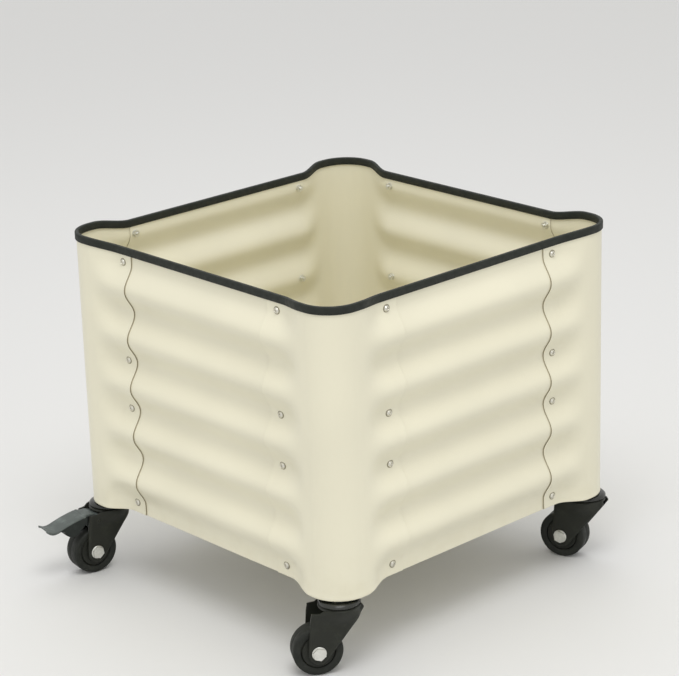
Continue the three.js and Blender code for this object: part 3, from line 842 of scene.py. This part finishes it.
PEDAL_PIVOT = (30 * MM, 91.5 * MM)
CREASE = 54.5 * MM                    # pressed line across the plate
HEEL_HALF = 15 * MM                   # half the plate's width, between the fork's legs
TREAD_HALF = 19 * MM                  # and behind them
# The plate's top line in mm, from under the crown to the raised toe.
PEDAL_TOP = ((27, 100.4), (32.5, 101), (36, 103), (40, 103.7), (53, 103.9), (54.5, 103.5),
             (56, 103.1), (66, 101.2), (80, 97.7), (92, 93.7), (101, 90.4), (107, 89.2),
             (112, 89.6), (116.5, 91.6), (121, 94.8))


def pedal_grids():
    """Top and under surface of the pedal plate, toe last."""
    knots = np.array(PEDAL_TOP) * MM
    s = np.concatenate([np.linspace(knots[0, 0], knots[-1, 0] - 2 * MM, 90),
                        knots[-1, 0] - np.array([1.3, 0.7, 0.3, 0]) * MM])
    z = np.interp(s, knots[:, 0], knots[:, 1])
    z[2:-2] = np.convolve(z, np.ones(5) / 5, "valid")
    z -= 0.7 * MM * np.exp(-((s - CREASE) / (0.9 * MM)) ** 2)
    wide = HEEL_HALF + (TREAD_HALF - HEEL_HALF) * smoothstep(s, 49 * MM, 51.5 * MM)
    toe = np.clip((knots[-1, 0] - s) / (6 * MM), 0, 1)
    wide = wide - 5 * MM * (1 - np.sqrt(1 - (1 - toe) ** 2))
    across = np.concatenate([[-1, -0.985, -0.95, -0.88], np.linspace(-0.78, 0.78, 15),
                             [0.88, 0.95, 0.985, 1]])
    n = wide[:, None] * across[None, :]
    edge = np.clip((1 - np.abs(across))[None, :] * wide[:, None] / (2.2 * MM), 0, 1)
    drop = 1.8 * MM * (1 - np.sqrt(1 - (1 - edge) ** 2))
    crown = 0.6 * MM * (1 - across[None, :] ** 2)
    top = np.stack([np.broadcast_to(s[:, None], n.shape), n, z[:, None] + crown - drop], -1)
    under = top.copy()
    under[..., 2] = z[:, None] + crown - drop - 2.4 * MM
    under[..., 1] *= 0.96
    return top, under


def scaled(outline):
    """An outline in millimetres, brought to metres."""
    return [(x * MM, z * MM) for x, z in outline]


def build_pedal(corner, place):
    pedal = Mesh()
    top, under = pedal_grids()
    pedal.shell(top, under, move=place)
    across = place @ Matrix.Rotation(math.pi / 2, 4, "X")
    ps, pz = PEDAL_PIVOT
    heel = circle(ps, pz, 8 * MM, 18, 95, 175) + scaled(
        [(36, 80.4), (40, 79), (44, 79.2), (48, 84), (49.5, 92), (49.5, 102.2), (37, 101.2),
         (32, 99.6)])
    pedal.prism(heel, -14.6 * MM, 14.6 * MM, 1, across)
    cheek = scaled([(48.9, 102), (49.7, 93), (55, 87.5), (62, 81), (67, 76), (72, 73.6),
                    (77, 73.6), (82, 76), (87, 81), (91, 86), (98, 87.8), (104, 87.6),
                    (100, 89.8), (92, 92.6), (80, 96.6), (66, 100.1), (55, 102)])
    for near, far in ((16.4 * MM, 18.8 * MM), (-18.8 * MM, -16.4 * MM)):
        pedal.prism(cheek, near, far, 1, across)
    shoe = scaled([(56, 101.8), (62, 82), (67, 74.6), (73, 72.2), (81, 73.8), (88, 79),
                   (93, 91.8), (80, 96)])
    pedal.prism(shoe, -16.6 * MM, 16.6 * MM, 1, across)
    bevelled(pedal.piece(f"foot_pedal_{corner}", [PEDAL_GREY, SHOE_BLACK], f"brake_{corner}",
                         "pedal_grey", [f"brake_pedal_{corner}"], sharp=40), 0.5 * MM)
    pin = Mesh()
    end = LEG_OUT + 3.2 * MM
    at = place @ Matrix.Translation((ps, 0, pz)) @ Matrix.Rotation(-math.pi / 2, 4, "X")
    pin.turned([(0, -end), (3.4 * MM, -end), (4.2 * MM, -end + 0.7 * MM),
                (4.2 * MM, -end + 1.6 * MM), (2.5 * MM, -end + 1.7 * MM),
                (2.5 * MM, end - 1.7 * MM), (4.2 * MM, end - 1.6 * MM),
                (4.2 * MM, end - 0.7 * MM), (3.4 * MM, end), (0, end)], 28, 0, at)
    pin.piece(f"pivot_pin_{corner}", [BLACK], f"caster_{corner}", "zinc",
              [f"pedal_pin_{corner}"])


for corner in CORNERS:
    place, trail = caster_frame(corner)
    build_fork(corner, place, trail)
    build_race(corner, place)
    build_stem(corner, place)
    build_wheel(corner, place, trail)
    build_axle(corner, place, trail)
    if f"brake_{corner}" in JOINTS:
        build_pedal(corner, place)

# ---------- ground, light and camera ----------
GROUND = 30.0                         # half the floor's width
ground = bpy.data.meshes.new("ground")
ground.from_pydata([(-GROUND, -GROUND, 0), (GROUND, -GROUND, 0), (GROUND, GROUND, 0),
                    (-GROUND, GROUND, 0)], [], [(0, 1, 2, 3)])
floor = bpy.data.objects.new("ground", ground)
bpy.context.scene.collection.objects.link(floor)
pale = Paint("pale_floor", (0.74, 0.74, 0.735), 0.8)
ground.materials.append(pale.material)

SKY_COLOR = (1, 0.995, 0.98, 1)
SKY_STRENGTH = 0.86
world = bpy.data.worlds.new("studio")
bpy.context.scene.world = world
world.use_nodes = True
sky = world.node_tree.nodes["Background"]
sky.inputs["Color"].default_value = SKY_COLOR
sky.inputs["Strength"].default_value = SKY_STRENGTH


def softbox(name, azimuth, elevation, distance, size, power):
    """An area light aimed at the planter's middle."""
    light = bpy.data.lights.new(name, "AREA")
    light.size = size
    light.energy = power
    lamp = bpy.data.objects.new(name, light)
    a, e = math.radians(azimuth), math.radians(elevation)
    away = Vector((math.sin(a) * math.cos(e), -math.cos(a) * math.cos(e), math.sin(e)))
    lamp.location = away * distance + Vector((0, 0, 0.3))
    lamp.rotation_euler = away.to_track_quat("Z", "Y").to_euler()
    bpy.context.scene.collection.objects.link(lamp)


softbox("key", azimuth=50, elevation=62, distance=3.0, size=1.4, power=31)
softbox("back", azimuth=230, elevation=55, distance=3.0, size=1.8, power=8)
bpy.context.scene.view_settings.view_transform = "Standard"

CAMERA = {"azimuth": 47.24, "elevation": 19.02, "roll": -1.77,
          "distance": 3.796, "lens": 126.97, "shift": -0.0027, "above_side": 0.2604}
azimuth, elevation = (math.radians(CAMERA[k]) for k in ("azimuth", "elevation"))
target = Vector((0, 0, BOTTOM + CAMERA["above_side"]))
away = Vector((math.sin(azimuth) * math.cos(elevation),
               -math.cos(azimuth) * math.cos(elevation), math.sin(elevation)))
camera_data = bpy.data.cameras.new("camera")
camera_data.lens = CAMERA["lens"]
camera_data.shift_x = CAMERA["shift"]
camera = bpy.data.objects.new("camera", camera_data)
camera.location = target + away * CAMERA["distance"]
camera.rotation_euler = (away.to_track_quat("Z", "Y").to_matrix()
                         @ Matrix.Rotation(math.radians(CAMERA["roll"]), 3, "Z")).to_euler()
bpy.context.scene.collection.objects.link(camera)
bpy.context.scene.camera = camera
